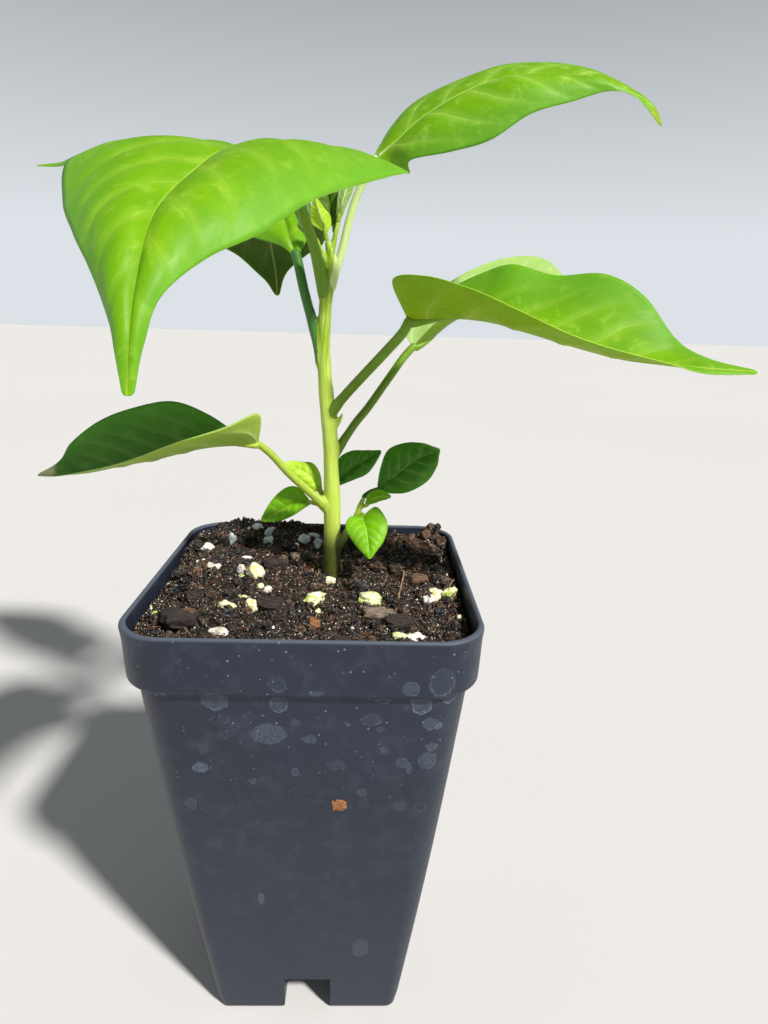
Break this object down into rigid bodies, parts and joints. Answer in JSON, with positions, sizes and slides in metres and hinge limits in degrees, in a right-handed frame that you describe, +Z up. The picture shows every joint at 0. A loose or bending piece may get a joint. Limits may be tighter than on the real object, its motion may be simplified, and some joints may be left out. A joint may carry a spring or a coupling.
{
  "type": "potted chilli pepper plant",
  "caption": "Young chilli pepper plant with large pointed leaves, growing upright in dark compost in a tall square tapered nursery pot with a rim collar.",
  "frame": {"origin": "middle of the pot's underside, on the surface that the pot stands on; this is also within 2 mm of the middle of the whole plant's footprint", "axes": "+Z up along the stem, +X to the right across the pot's front, +Y to the back"},
  "size_m": [0.2013, 0.1522, 0.2716],
  "materials": {
    "pot_plastic": "moulded, slightly dusty, satin on the rim",
    "compost": "damp crumbly peat with perlite",
    "stem_green": "smooth green stem with fine hairs",
    "leaf_green": "thin glossy leaf with raised veins"
  },
  "bodies": {
    "root": {"nursery_pot": "pot_plastic", "potting_soil": "compost", "main_stem": "stem_green", "leaf_front_left": "leaf_green", "leaf_upper_right": "leaf_green", "leaf_right": "leaf_green", "leaf_low_left": "leaf_green", "leaf_back_left": "leaf_green", "leaf_far_left": "leaf_green", "leaf_back_right": "leaf_green", "axil_leaf": "leaf_green", "low_leaf_left": "leaf_green", "low_leaf_back": "leaf_green", "low_leaf_right": "leaf_green", "low_leaf_front": "leaf_green", "shoot_leaf": "leaf_green", "tip_leaf_folded": "leaf_green", "tip_leaf_back": "leaf_green", "tip_leaf_upright": "leaf_green"}
  },
  "joints": []
}
